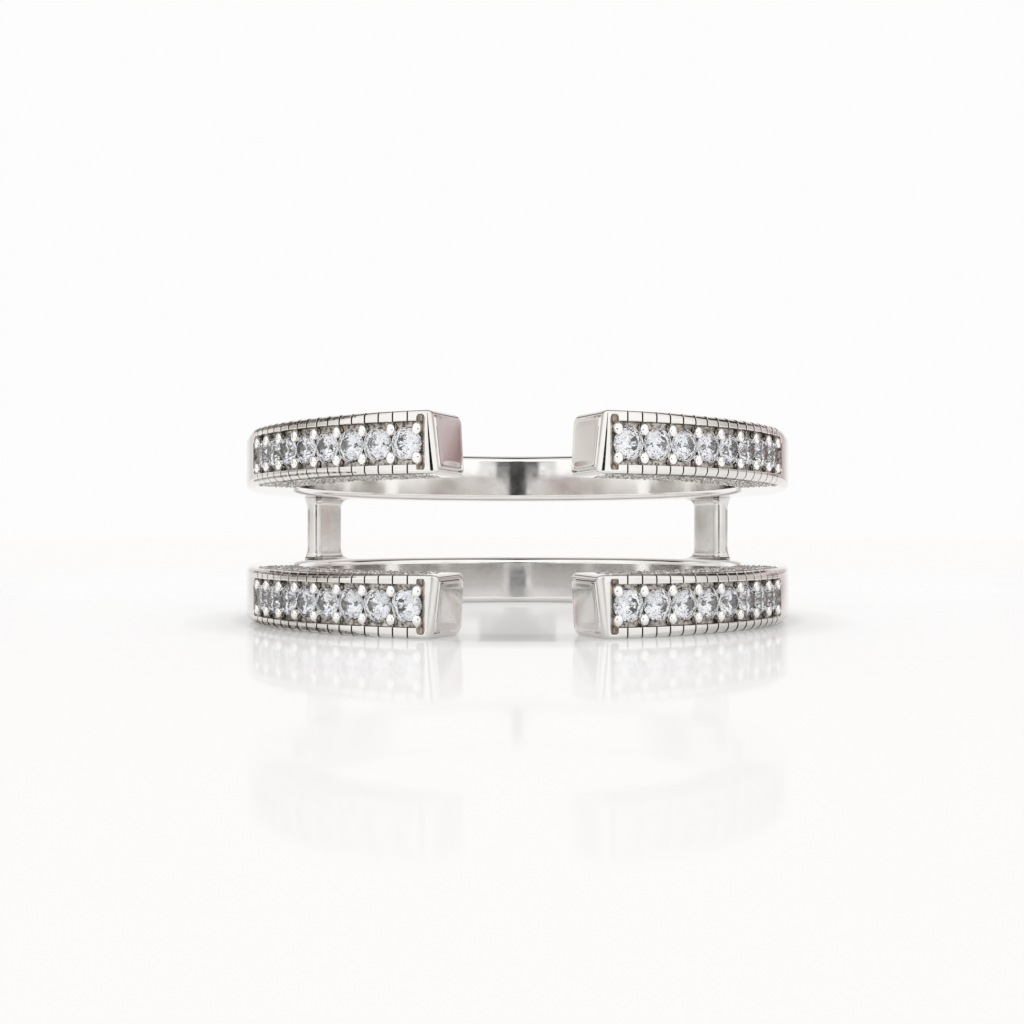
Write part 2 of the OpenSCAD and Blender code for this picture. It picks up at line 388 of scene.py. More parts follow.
def panel_stations():
    """The end face from its middle outwards: panel, thin line, tilted strip and lip, thin line."""
    w, d = PANEL_LINE_W, PANEL_LINE_DEPTH
    flat = 2 * w + PANEL_BORDER
    wide = {"lip": PANEL_LIP_W, "strip": PANEL_STRIP_W}
    stations = [(panel_station(flat, 0.0, size=size, **wide), PLAIN) for size in PANEL_SIZES]
    return stations + [
        (panel_station(2 * w, 0.0, **wide), LINE),
        (panel_station(1.5 * w, d, **wide), LINE),
        (panel_station(w, 0.0, **wide), LINE),
        (panel_station(w, PANEL_STRIP_DEPTH), LINE),
        (panel_station(0.5 * w, PANEL_STRIP_DEPTH + d), LINE),
        (end_station(90), LINE),
    ]


def edge_at(a):
    """Rounding of an arm's outer edges, which grows from its end towards the shank."""
    return mix(ARM_EDGE_R, ARM_EDGE_R_FAR, smooth((a - CHANNEL_A0) / EDGE_GROWTH_DEG))


def plain_station(a, **shape):
    shape.setdefault("edge_gap", edge_at(a))
    shape.setdefault("edge_side", edge_at(a))
    return [(radius, a, z) for radius, z in section(half_gap(a), **shape)]


def far_arch(inside):
    """How far the channel's far end narrows it at this distance from the wall."""
    off = min(FAR_ARCH_R, FAR_ARCH_R - inside)
    return FAR_ARCH_SHARE * (FAR_ARCH_R - math.sqrt(FAR_ARCH_R ** 2 - max(0.0, off) ** 2))


def near_arch(inside):
    """How far the round-topped scoop at the channel's near end cuts into the rails, as a minus."""
    off = min(END_ARCH_R, abs(END_ARCH_R - max(0.0, inside)))
    return END_ARCH_R - math.sqrt(END_ARCH_R ** 2 - off ** 2) - END_ARCH_RISE


def wall_top():
    """Bevel at the top of an end wall: places, their depths and what they are part of."""
    share = 0.3
    return [
        (-RAIL_BEVEL, 0.0, PLAIN),
        (-share * RAIL_BEVEL, share * RAIL_BEVEL, PLAIN),
        (0.0, RAIL_BEVEL, TROUGH),
    ]


def far_wall():
    """Stations over the wall at the channel's far end, from the shank towards the channel."""
    steps = wall_top() + [(*FAR_WALL_STEP, TROUGH), (FAR_WALL_W, FAR_WALL_DEPTH, TROUGH)]
    steps += [(FAR_WALL_W + d, TROUGH_DEPTH, TROUGH) for d in (0.01, 0.04, 0.09)]
    edge = CHANNEL_A1 + arc_deg(END_WALL_SHIFT, OUTER_R)
    return [
        (plain_station(edge - arc_deg(d, OUTER_R), depth=depth, narrow=far_arch(d)), kind)
        for d, depth, kind in steps
    ]


def near_wall():
    """Stations over the scoop at the channel's near end, from the band's end into the channel."""
    last = 2 * END_ARCH_R
    steps = wall_top() + [(d, depth, TROUGH) for d, depth in SCOOP_SLOPE]
    steps += [(SCOOP_W, SCOOP_DEPTH, TROUGH)]
    steps += [(last - d, TROUGH_DEPTH, TROUGH) for d in (0.03, 0.01)]
    edge = CHANNEL_A0 - arc_deg(END_WALL_SHIFT, OUTER_R)
    stations = []
    for d, depth, kind in steps:
        shelf = SCOOP_DEPTH if depth > SCOOP_DEPTH else 0.0
        a = edge + arc_deg(d, OUTER_R)
        stations.append((plain_station(a, depth=depth, narrow=near_arch(d), shelf=shelf), kind))
    stations.append((plain_station(edge + arc_deg(last, OUTER_R), depth=TROUGH_DEPTH), TROUGH))
    return stations


def groove_station(middle, offset, depth):
    """Section in a groove, which spreads over the rounded edge of the band's side."""
    growth = smooth((middle - CHANNEL_A0) / (CHANNEL_A1 - CHANNEL_A0))
    points = []
    for radius, a, z in plain_station(middle, depth=TROUGH_DEPTH, groove=depth):
        over = min(1.0, max(0.0, (z - CHANNEL_TOP) / RAIL_W))
        spread = 1 + NOTCH_SPREAD * growth * over
        points.append((radius, middle + arc_deg(offset * spread, OUTER_R), z))
    return points


def block_stations():
    """Stations of the blocks and grooves, between the channel's two end walls."""
    stations = []
    for i in range(BLOCKS_PER_RAIL):
        start = CHANNEL_A0 + i * GROOVE_STEP
        half = mix(GROOVE_LINE_W, GROOVE_LINE_W_FAR, i / BLOCKS_PER_RAIL) / 2
        dip = [(d - half, depth) for d, depth in GROOVE_SIDE]
        dip += [(-d, depth) for d, depth in dip[::-1]]
        if i > 0:
            for d, depth in dip:
                stations.append((groove_station(start, d, depth), GROOVE if depth else TROUGH))
        for t in (0.35, 0.65) if i else (0.5, 0.75):
            stations.append((plain_station(start + t * GROOVE_STEP, depth=TROUGH_DEPTH), TROUGH))
    return stations


def half_band_stations():
    """Stations of the upper band from the right arm's end to the middle of the back."""
    stations = panel_stations()
    plain = [end_station(90 * (1 - k / END_STEPS)) for k in range(1, END_STEPS + 1)]
    stations += [(points, PLAIN) for points in plain]
    stations += near_wall()
    stations += block_stations()[:-1]
    stations += far_wall()[::-1]
    plain = []
    start = CHANNEL_A1 + arc_deg(END_WALL_SHIFT + RAIL_BEVEL, OUTER_R)
    end = ARM_A1 + CHANGE_DEG
    for k in range(1, CHANGE_STEPS + 1):
        t = smooth(k / CHANGE_STEPS)
        plain.append(plain_station(
            mix(start, end, k / CHANGE_STEPS),
            edge_gap=mix(ARM_EDGE_R_FAR, SHANK_GAP_R, t),
            edge_side=mix(ARM_EDGE_R_FAR, SHANK_SIDE_R, t),
        ))
    for k in range(1, SHANK_STEPS + 1):
        a = mix(end, 180, k / SHANK_STEPS)
        plain.append(plain_station(a, edge_gap=SHANK_GAP_R, edge_side=SHANK_SIDE_R))
    return stations + [(points, PLAIN) for points in plain]


def keep_gap_flat(radius, a, z):
    """Moves a point so that the gap's side lies in one plane."""
    low = half_gap(a)
    share = (HALF_H - z) / (HALF_H - low)
    return radius, a, z + (half_gap(a, radius) - low) * share


def make_object(name, verts, faces, *materials, smooth_angle=35, marks=None):
    """Mesh object from points in millimetres. Marks give the number of each face's material."""
    mesh = bpy.data.meshes.new(name)
    mesh.from_pydata([(x * MM, y * MM, z * MM) for x, y, z in verts], [], faces)
    if marks:
        mesh.polygons.foreach_set("material_index", marks)
    shell = bmesh.new()
    shell.from_mesh(mesh)
    bmesh.ops.remove_doubles(shell, verts=shell.verts, dist=1e-8)
    bmesh.ops.recalc_face_normals(shell, faces=shell.faces)
    shell.to_mesh(mesh)
    shell.free()
    mesh.polygons.foreach_set("use_smooth", [True] * len(mesh.polygons))
    mesh.set_sharp_from_angle(angle=math.radians(smooth_angle))
    for material in materials:
        mesh.materials.append(material)
    piece = bpy.data.objects.new(name, mesh)
    bpy.context.scene.collection.objects.link(piece)
    return piece


def flip(points, flip_x, flip_z):
    return [(-x if flip_x else x, y, -z if flip_z else z) for x, y, z in points]


def in_all_arms(verts, faces):
    """The same points and faces in all four arms."""
    ways = [(flip_x, flip_z) for flip_x in (False, True) for flip_z in (False, True)]
    return join([(flip(verts, *way), faces) for way in ways])


# Materials of the band's faces, numbered by their place in BAND_METALS. All but the plain silver carry
# painted shade or painted light
ON_PLAIN, ON_CHANNEL_SHADE, ON_PAINTED_DARK, ON_LIT_BORE, ON_SCOOP_SHADE, ON_PANEL_SHADE = range(6)

# Dark line at an end, a painted dark reflection: depth under the outside, and what it leaves free at
# the gap and at the side
END_LINE_DEPTH = 0.5
END_LINE_LOW = 0.25
END_LINE_HIGH = 0.6

# Least distance of the channel's walls from the hole
WALL_FROM = 0.5

# Bed of the grains: height, distance from the hole, and share of the outer rounding left free
GRAIN_BED_H = 0.1
GRAIN_BED_FROM = 0.4
GRAIN_BED_SHARE = 0.7


def is_painted_dark(strip, kinds, points, k):
    """Whether a face at outline point k is painted dark: in the end's thin line, a painted dark
    reflection, or in a groove, painted shade. The strip is the end's tilted one.
    """
    radius, a, z = points[k]
    if kinds == (LINE, LINE):
        along = half_gap(a) + END_LINE_LOW < z < HALF_H - END_LINE_HIGH
        return not strip and radius > OUTER_R - END_LINE_DEPTH and along
    next_radius = points[(k + 1) % len(points)][0]
    return kinds == (GROOVE, GROOVE) and min(radius, next_radius) > OUTER_R - GROOVE_REACH - TINY


def in_channel(kinds, points, others, k):
    """Whether the face at outline point k between two sections is a wall of the channel."""
    if min(kinds) < TROUGH or not 0 < k < len(points) - 1:
        return False
    radii = [p[0] for p in (points[k], points[k + 1], others[k], others[k + 1])]
    radius, a, z = points[k]
    inside = half_gap(a) + edge_at(a) < z < HALF_H - edge_at(a)
    return inside and BORE_R + WALL_FROM < min(radii) < OUTER_R - RAIL_BEVEL - TINY


def in_scoop(points, others):
    """Whether two sections are at the scoop of the channel's near end."""
    return max(abs(points[0][1]), abs(others[0][1])) < CHANNEL_A0 + arc_deg(2 * END_ARCH_R, OUTER_R)


def on_grain_bed(points, k):
    """Whether outline point k is on the gap's side along the channel."""
    radius, a, z = points[k]
    a = abs(a)
    along = CHANNEL_A0 < a < CHANNEL_A1 and z < half_gap(a) + GRAIN_BED_H
    return along and BORE_R + GRAIN_BED_FROM < radius < OUTER_R - GRAIN_BED_SHARE * edge_at(a)


def face_mark(rings, i, k):
    """Material of the band's face at outline point k, between sections i and i + 1."""
    (points, kind), (others, next_kind) = rings[i], rings[i + 1]
    kinds = (kind, next_kind)
    panels = len(PANEL_SIZES)
    strips = (2 + panels, len(rings) - 4 - panels)
    if is_painted_dark(i in strips, kinds, points, k):
        return ON_PAINTED_DARK
    # The channel's walls get painted shade, lighter in the scoop
    if in_channel(kinds, points, others, k):
        return ON_SCOOP_SHADE if in_scoop(points, others) else ON_CHANNEL_SHADE
    # The gap's side along the channel gets painted shade too
    if on_grain_bed(points, k):
        return ON_CHANNEL_SHADE
    # The end panels get the darker silver, painted shade
    if not panels <= i + 1 < len(rings) - panels:
        return ON_PANEL_SHADE
    # The hole's face gets the lighter silver, painted light
    return ON_LIT_BORE if points[k][0] < BORE_R + 10 * TINY else ON_PLAIN


def tube_faces(rows, sides, closed=True):
    """Faces of a tube from rows of points, each row with this many sides."""
    faces = []
    for i in range(rows - 1):
        for k in range(sides):
            n = (k + 1) % sides
            faces.append([i * sides + k, i * sides + n, (i + 1) * sides + n, (i + 1) * sides + k])
    if closed:
        faces.append(list(range(sides)))
        faces.append(list(range((rows - 1) * sides, rows * sides)))
    return faces


def band_mesh():
    """Points and faces of the upper band, with the number of each face's material."""
    rings = [([keep_gap_flat(*p) for p in points], kind) for points, kind in half_band_stations()]
    rings += [([(r, -a, z) for r, a, z in points], kind) for points, kind in rings[-2::-1]]
    count = len(rings[0][0])
    verts = [on_ring(a, r, z) for points, _ in rings for r, a, z in points]
    marks = [face_mark(rings, i, k) for i in range(len(rings) - 1) for k in range(count)]
    return verts, tube_faces(len(rings), count), marks + [ON_PANEL_SHADE, ON_PANEL_SHADE]


# Steps along each side of the floor round one stone, and slope and depth of the stones' seats
BED_STEPS = 8
PAVILION_SLOPE = PAVILION_H / STONE_R
SEAT_DROP = PAVILION_H + SEAT_GAP * math.sqrt(1 + PAVILION_SLOPE ** 2)


def bed_edge(i):
    """Edge of the floor round stone i: angles and places across the channel."""
    half = CHANNEL_W / 2 + BED_OVERLAP
    middle = STONE_A0 + i * STONE_STEP
    left = CHANNEL_A0 - BED_END_DEG if i == 0 else middle - STONE_STEP / 2
    right = CHANNEL_A1 + BED_END_DEG if i == STONES_PER_ARM - 1 else middle + STONE_STEP / 2
    grid = [k / BED_STEPS for k in range(BED_STEPS)]
    return (
        [(right, mix(-half, half, t)) for t in grid]
        + [(mix(right, left, t), half) for t in grid]
        + [(left, mix(half, -half, t)) for t in grid]
        + [(mix(left, right, t), -half) for t in grid]
    )


def bed_rows(i):
    """Rows of points from the floor's edge round stone i into the cone of its seat."""
    middle = STONE_A0 + i * STONE_STEP
    edge = bed_edge(i)
    ways = []
    for a, v in edge:
        u = math.radians(a - middle) * FLOOR_R
        length = math.hypot(u, v)
        ways.append((u / length, v / length))
    seat_r = (SEAT_DROP - GIRDLE_LIFT) / PAVILION_SLOPE
    rows = []
    for share in (1.0, 0.75, 0.5, 0.25, 0.0):
        row = []
        for (a, v), (along, across) in zip(edge, ways):
            here_a = mix(middle + arc_deg(along * seat_r, FLOOR_R), a, share)
            here_v = mix(across * seat_r, v, share)
            lift = -BED_SINK if share < 1 else 0.0
            if 0 < share < 1:
                spot = Vector((here_a * BED_PATTERN[0], here_v * BED_PATTERN[1], i))
                lift += BED_ROUGH * noise.noise(spot)
            row.append(on_ring(here_a, FLOOR_R + lift, CHANNEL_Z + here_v))
        rows.append(row)
    for depth in (SEAT_DROP * 0.5, SEAT_DROP * 0.93):
        cone_r, radius = (SEAT_DROP - depth) / PAVILION_SLOPE, GIRDLE_R - depth
        rows.append([
            on_ring(middle + arc_deg(along * cone_r, radius), radius, CHANNEL_Z + across * cone_r)
            for along, across in ways
        ])
    return rows


def bed_mesh():
    """The channel's floor in the right upper arm, with a cone for each stone, closed below."""
    verts, faces = [], []
    lows, highs, first_end, last_end = [], [], [], []
    for i in range(STONES_PER_ARM):
        rings = []
        for row in bed_rows(i):
            rings.append([len(verts) + k for k in range(len(row))])
            verts += row
        for outer, inner in zip(rings, rings[1:]):
            for k in range(len(outer)):
                n = (k + 1) % len(outer)
                faces.append([outer[k], outer[n], inner[n], inner[k]])
        faces.append(rings[-1])
        outer = rings[0]
        highs += outer[BED_STEPS:2 * BED_STEPS + 1][::-1][(1 if i else 0):]
        lows += (outer[3 * BED_STEPS:] + outer[:1])[(1 if i else 0):]
        if i == 0:
            first_end = outer[2 * BED_STEPS:3 * BED_STEPS + 1]
        if i == STONES_PER_ARM - 1:
            last_end = outer[:BED_STEPS + 1]
    close_bed(verts, faces, lows, highs, first_end, last_end)
    return verts, faces


def close_bed(verts, faces, lows, highs, first_end, last_end):
    """Adds walls under the floor's four edges, and its underside."""
    base_r = OUTER_R - TROUGH_DEPTH + BED_OVERLAP
    deep = {}
    for k in set(lows + highs + first_end + last_end):
        x, y, z = verts[k]
        scale = base_r / math.hypot(x, y)
        verts.append((x * scale, y * scale, z))
        deep[k] = len(verts) - 1
    for line in (lows, highs, first_end, last_end):
        for k, n in zip(line, line[1:]):
            faces.append([k, n, deep[n], deep[k]])
    for k in range(len(lows) - 1):
        bottom = [lows[k], lows[k + 1], highs[k + 1], highs[k]]
        if k == 0:
            bottom = bottom[:3] + first_end[:-1]
        if k == len(lows) - 2:
            bottom = [bottom[0]] + last_end + [bottom[3]]
        faces.append([deep[n] for n in bottom])


def bead(a, side):
    """One bead prong at an angle, beside the channel's lower (-1) or upper (1) wall."""
    rings, sides = 6, 16
    radius = FLOOR_R + BEAD_LIFT
    z = CHANNEL_Z + side * (CHANNEL_W / 2 - PRONG_D / 2 - PRONG_WALL_GAP + BEAD_SHIFT)
    verts = []
    for i in range(rings):
        t = math.radians(mix(*BEAD_SPAN, i / (rings - 1)))
        spread = math.cos(t) ** BEAD_POWER
        lift = math.copysign(abs(math.sin(t)) ** BEAD_POWER, t)
        for k in range(sides):
            s = 2 * math.pi * k / sides
            along = BEAD_HALF[0] * spread * math.cos(s)
            across = BEAD_HALF[1] * spread * math.sin(s) - side * BEAD_LEAN * max(0.0, lift)
            verts.append(on_ring(a + arc_deg(along, radius), radius + BEAD_H * lift, z + across))
    faces = tube_faces(rings, sides, closed=False)
    verts.append(on_ring(a, radius + BEAD_H, z - side * BEAD_LEAN))
    last = (rings - 1) * sides
    faces += [[last + k, last + (k + 1) % sides, rings * sides] for k in range(sides)]
    faces.append(list(range(sides))[::-1])
    return verts, faces


def join(parts):
    verts, faces = [], []
    for part_verts, part_faces in parts:
        shift = len(verts)
        verts += part_verts
        faces += [[k + shift for k in face] for face in part_faces]
    return verts, faces


def bead_mesh():
    """The bead prongs of the right upper arm."""
    end = arc_deg(FAR_BEAD_SHARE * PRONG_D / 2, FLOOR_R)
    places = [CHANNEL_A0 + arc_deg(NEAR_BEAD_INSET, FLOOR_R), CHANNEL_A1 - end]
    places += [STONE_A0 + (i - 0.5) * STONE_STEP for i in range(1, STONES_PER_ARM)]
    return join([bead(a, side) for a in places for side in (-1, 1)])


def rim_mesh():
    """A thin bright rim at the shank's side of each seat in the right upper arm, a painted highlight at
    the stone's edge.
    """
    steps, sides = 16, 6
    rims = []
    for i in range(STONES_PER_ARM):
        middle = STONE_A0 + i * STONE_STEP
        verts = []
        for j in range(steps + 1):
            t = math.radians(mix(-RIM_SPAN, RIM_SPAN, j / steps))
            thick = RIM_R * math.sqrt(math.cos(t))
            for k in range(sides):
                s = 2 * math.pi * k / sides
                reach = STONE_R + RIM_OUT + thick * math.cos(s)
                verts.append(on_ring(
                    middle + arc_deg(reach * math.cos(t), GIRDLE_R),
                    GIRDLE_R + RIM_LIFT + thick * math.sin(s),
                    CHANNEL_Z + reach * math.sin(t),
                ))
        rims.append((verts, tube_faces(steps + 1, sides)))
    return join(rims)


def grain_mesh():
    """Small grains over the gap's side of the right upper arm, along the channel."""
    pick = random.Random(7)
    grains = []
    inner, outer = BORE_R + GRAIN_INSET, OUTER_R - GROOVE_REACH + 0.02
    rows = int((outer - inner) / GRAIN_PITCH)
    for row in range(rows + 1):
        radius = mix(inner, outer, row / rows)
        count = int(math.radians(CHANNEL_A1 - CHANNEL_A0) * radius / GRAIN_PITCH)
        for k in range(count + 1):
            a = mix(CHANNEL_A0, CHANNEL_A1, (k + 0.5 * (row % 2)) / (count + 0.5))
            a += arc_deg(pick.uniform(-GRAIN_SHIFT, GRAIN_SHIFT), radius)
            r = radius + pick.uniform(-GRAIN_SHIFT, GRAIN_SHIFT)
            size = pick.uniform(*GRAIN_R)
            height = pick.uniform(*GRAIN_H)
            turn = pick.uniform(0, 60)
            grains.append(grain(a, r, size, height, turn))
    return join(grains)


def grain(a, radius, size, height, turn):
    """A flat six-sided grain on the gap's side, turned by some degrees."""
    sides = 6
    verts = []
    base = half_gap(a, radius)
    for spread, lift in GRAIN_PROFILE:
        for k in range(sides):
            t = math.radians(turn + 360 / sides * k)
            verts.append(on_ring(
                a + arc_deg(size * spread * math.cos(t), radius),
                radius + size * spread * math.sin(t),
                base - height * lift,
            ))
    return verts, tube_faces(len(GRAIN_PROFILE), sides)


def post_outline(below):
    """Outline (radius, place across) of the post at a distance below the face that it ends in."""
    t0 = -POST_W / 2 - flare(POST_FILLET_FRONT, below)
    t1 = POST_W / 2 + flare(POST_FILLET_BACK, below)
    r0, r1 = POST_OUTER_R - POST_T - flare(POST_FLARE_INSIDE, below), POST_OUTER_R
    near = POST_EDGE_R
    far = mix(POST_EDGE_R, POST_FOOT_EDGE_R, smooth(1 - below / POST_FILLET_BACK))
    return (
        arc(r0 + near, t0 + near, near, 180, 270)
        + [(mix(r0 + near, r1 - far, s), t0) for s in POST_SIDE_LOOPS]
        + arc(r1 - far, t0 + far, far, 270, 360)
        + [(r1, mix(t0 + far, t1 - far, s)) for s in POST_LOOPS]
        + arc(r1 - far, t1 - far, far, 0, 90)
        + [(mix(r1 - far, r0 + near, s), t1) for s in POST_SIDE_LOOPS]
        + arc(r0 + near, t1 - near, near, 90, 180)
        + [(r0, mix(t1 - near, t0 + near, s)) for s in POST_LOOPS]
    )


def post_heights():
    """Heights of the post's outlines, close together where it flares."""
    top = GAP_W / 2
    heights = [top * share for share in (0.0, 0.3, 0.55)]
    for t in (0, 15, 30, 45, 60, 75, 90):
        heights.append(top - POST_FILLET_BACK * (1 - math.sin(math.radians(t))))
    heights.append(top + POST_SUNK)
    return [-z for z in heights[:0:-1]] + heights


def post_mesh():
    """The right bridge post, flared where it meets the bands."""
    top = GAP_W / 2
    turn = math.radians(POST_ANGLE)
    rings = []
    for z in post_heights():
        near_band = smooth((abs(z) / top - 0.6) / 0.4)
        ring = []
        for radius, t in post_outline(top - abs(z)):
            outwards = math.sqrt(radius ** 2 - t ** 2)
            x = outwards * math.sin(turn) + t * math.cos(turn)
            y = -outwards * math.cos(turn) + t * math.sin(turn)
            ring.append((x, y, z + math.copysign(edge_rise(radius) * near_band, z)))
        rings.append(ring)
    return [p for ring in rings for p in ring], tube_faces(len(rings), len(rings[0]))


def edge_rise(radius):
    """How far the band's rounded edge has turned away from the gap at this radius."""
    over = min(SHANK_GAP_R * 0.95, max(0.0, radius - (OUTER_R - SHANK_GAP_R)))
    return SHANK_GAP_R - math.sqrt(SHANK_GAP_R ** 2 - over ** 2)


def flare(radius, below):
    """How far a fillet of this radius stands out at a distance below the face it ends in."""
    if below <= 0:
        return radius
    if below >= radius:
        return 0.0
    return radius - math.sqrt(radius ** 2 - (radius - below) ** 2)


def new_material(name):
    """A material with its node tree and its shader."""
    material = bpy.data.materials.new(name)
    material.use_nodes = True
    return material, material.node_tree, material.node_tree.nodes["Principled BSDF"]


def feed(tree, node, inputs):
    """Fills a node's inputs, given by name or number: links outputs and sets plain values."""
    for name, value in inputs.items():
        if isinstance(value, bpy.types.NodeSocket):
            tree.links.new(value, node.inputs[name])
        else:
            node.inputs[name].default_value = value
    return node


def add_node(tree, kind, inputs):
    return feed(tree, tree.nodes.new(kind), inputs)


def noise_node(tree, scale, detail=2.0):
    place = tree.nodes.new("ShaderNodeTexCoord").outputs["Object"]
    inputs = {"Vector": place, "Scale": scale, "Detail": detail}
    return add_node(tree, "ShaderNodeTexNoise", inputs).outputs["Fac"]


def ramp(tree, value, stops):
    """Colour ramp through several stops, each a place and a colour."""
    node = add_node(tree, "ShaderNodeValToRGB", {"Fac": value})
    elements = node.color_ramp.elements
    while len(elements) < len(stops):
        elements.new(0.5)
    for element, (place, colour) in zip(elements, stops):
        element.position = place
        element.color = (*colour, 1)
    return node.outputs["Color"]


def map_range(tree, value, low, high, at=(0.3, 0.7)):
    inputs = {"Value": value, "From Min": at[0], "From Max": at[1], "To Min": low, "To Max": high}
    return add_node(tree, "ShaderNodeMapRange", inputs).outputs["Result"]


def rise(tree, value, at):
    """0 up to the first place and 1 from the second one on."""
    return map_range(tree, value, 0.0, 1.0, at)


def fall(tree, value, at):
    return map_range(tree, value, 1.0, 0.0, at)


def bump(tree, value, strength, distance):
    inputs = {"Height": value, "Strength": strength, "Distance": distance}
    return add_node(tree, "ShaderNodeBump", inputs).outputs["Normal"]


def calc(tree, kind, a, b=0.0):
    node = add_node(tree, "ShaderNodeMath", {0: a, 1: b})
    node.operation = kind
    return node.outputs[0]


def times(tree, a, b):
    return calc(tree, "MULTIPLY", a, b)


def blend(tree, base, colour, mask):
    """The base where the mask is 0 and the colour where it is 1."""
    node = tree.nodes.new("ShaderNodeMix")
    node.data_type = "RGBA"
    sides = {"A": base, "B": colour}
    sides = {name: (*side, 1) if isinstance(side, tuple) else side for name, side in sides.items()}
    return feed(tree, node, {"Factor": mask, **sides}).outputs["Result"]


def coordinates(tree, kind):
    """Right, backwards and up, of a kind of texture coordinate."""
    place = tree.nodes.new("ShaderNodeTexCoord").outputs[kind]
    return add_node(tree, "ShaderNodeSeparateXYZ", {0: place}).outputs


# Metals: dark and light tone, range of roughness, scale and height in metres of the polishing marks,
# scale of the patches of tone
METALS = {
    "polished_silver": ((0.80, 0.785, 0.765), (0.84, 0.83, 0.815), (0.03, 0.07), 5000.0, 6e-7, 700.0),
    # Darker copy of the silver for the posts, painted shade, and rougher for a satin look
    "satin_shade_silver": ((0.70, 0.68, 0.66), (0.77, 0.755, 0.74), (0.1, 0.16), 5000.0, 6e-7, 700.0),
    # Painted shade in the channel, on its floors and on the gap's side along it, in patches that vary
    # at random
    "channel_shade_silver": ((0.10, 0.085, 0.073), (0.64, 0.59, 0.54), (0.25, 0.45), 9000.0, 1e-5, 9000.0),
    # Painted shade in the grooves between the blocks and a painted dark reflection in the line at each
    # end
    "painted_dark_silver": ((0.16, 0.14, 0.12), (0.3, 0.265, 0.235), (0.25, 0.4), 9000.0, 2e-6, 700.0),
    "grain_silver": ((0.22, 0.2, 0.18), (0.96, 0.95, 0.93), (0.1, 0.25), 9000.0, 2e-6, 12000.0),
    # Lighter copy of the silver for the hole's face, painted light
    "lit_bore_silver": ((0.90, 0.885, 0.87), (0.94, 0.93, 0.92), (0.07, 0.12), 5000.0, 6e-7, 700.0),
    # Painted shade in the scoop at the channel's near end, lighter than in the channel
    "scoop_shade_silver": ((0.5, 0.45, 0.41), (0.92, 0.87, 0.82), (0.35, 0.55), 9000.0, 1e-5, 9000.0),
    # Lighter copy of the silver for the beads and the rims, painted highlight
    "lit_bead_silver": ((0.95, 0.94, 0.93), (0.98, 0.98, 0.97), (0.03, 0.08), 9000.0, 1e-6, 700.0),
    # Darker copy of the silver for the end panels, painted shade
    "panel_shade_silver": ((0.70, 0.68, 0.665), (0.74, 0.72, 0.705), (0.04, 0.08), 5000.0, 6e-7, 700.0),
}
BAND_METALS = (
    "polished_silver", "channel_shade_silver", "painted_dark_silver", "lit_bore_silver", "scoop_shade_silver", "panel_shade_silver",
)

# Places of the two tones in the range of a noise, and scale of the wear of the polish
TONE_PLACES = (0.35, 0.65)
WEAR_SCALE = 2600.0

# Stone: refraction, darkest tint, scales of its clouds and of its breaks, strength and depth in metres
# of the breaks
STONE_IOR = 2.1
STONE_TINT = (0.84, 0.89, 1.0)
CLOUD_SCALE = 7000.0
BREAK_SCALE = 7500.0
BREAK_STRENGTH = 0.42
BREAK_DEPTH = 1e-5


def two_tones(tree, value, low, high):
    return ramp(tree, value, ((TONE_PLACES[0], low), (TONE_PLACES[1], high)))


def metal(name):
    """Silver whose tone and polish vary a little, with fine polishing marks."""
    low, high, rough, mark_scale, mark_height, patch_scale = METALS[name]
    material, tree, shader = new_material(name)
    feed(tree, shader, {
        "Metallic": 1.0,
        "Base Color": two_tones(tree, noise_node(tree, patch_scale), low, high),
        "Roughness": map_range(tree, noise_node(tree, WEAR_SCALE, 3.0), *rough),
        "Normal": bump(tree, noise_node(tree, mark_scale, 3.0), 0.5, mark_height),
    })
    return material


def stone_material():
    """Clear stone with faint clouds in its tint and breaks that catch the light."""
    material, tree, shader = new_material("clear_stone")
    clouds = noise_node(tree, CLOUD_SCALE)
    place = tree.nodes.new("ShaderNodeTexCoord").outputs["Object"]
    cells = add_node(tree, "ShaderNodeTexVoronoi", {"Vector": place, "Scale": BREAK_SCALE})
    feed(tree, shader, {
        "Transmission Weight": 1.0,
        "IOR": STONE_IOR,
        "Base Color": two_tones(tree, clouds, STONE_TINT, (1, 1, 1)),
        "Roughness": map_range(tree, clouds, 0.0, 0.015),
        "Normal": bump(tree, cells.outputs["Distance"], BREAK_STRENGTH, BREAK_DEPTH),
    })
    return material


# Diffuse share of the floor and its own light
FLOOR_TONE = 0.8
FLOOR_LIGHT = (0.44, 0.445, 0.45)

# Mirror share of the floor by how grazing the look is, around the ring and inside its hole
FLOOR_GLOSS = (
    (0.7, 0.03), (0.86, 0.12), (0.893, 0.2), (0.905, 0.27), (0.935, 0.4), (0.955, 0.82), (1.0, 0.9),
)
BORE_GLOSS = (
    (0.7, 0.05), (0.8, 0.6), (0.885, 0.75), (0.9, 0.3), (0.935, 0.22), (0.955, 0.7), (1.0, 0.85),
)

# Share of the floor's own light that is left, by the distance from the ring's axis as a share of the
# reach in metres
FLOOR_SHADE = ((0.3, 0.82), (0.4, 0.78), (0.44, 0.45), (0.53, 0.3), (0.56, 0.7), (0.65, 1.0))
SHADE_REACH = 0.02

# In metres: half side of the floor, ends of its gloss behind and around the ring, edge of the hole
FLOOR_HALF = 3.0
GLOSS_END = (0.02, 0.08)
GLOSS_REACH = (0.05, 0.11)
BORE_EDGE = (0.0076, 0.0102)


def grey_ramp(tree, value, stops):
    return ramp(tree, value, [(place, (share, share, share)) for place, share in stops])


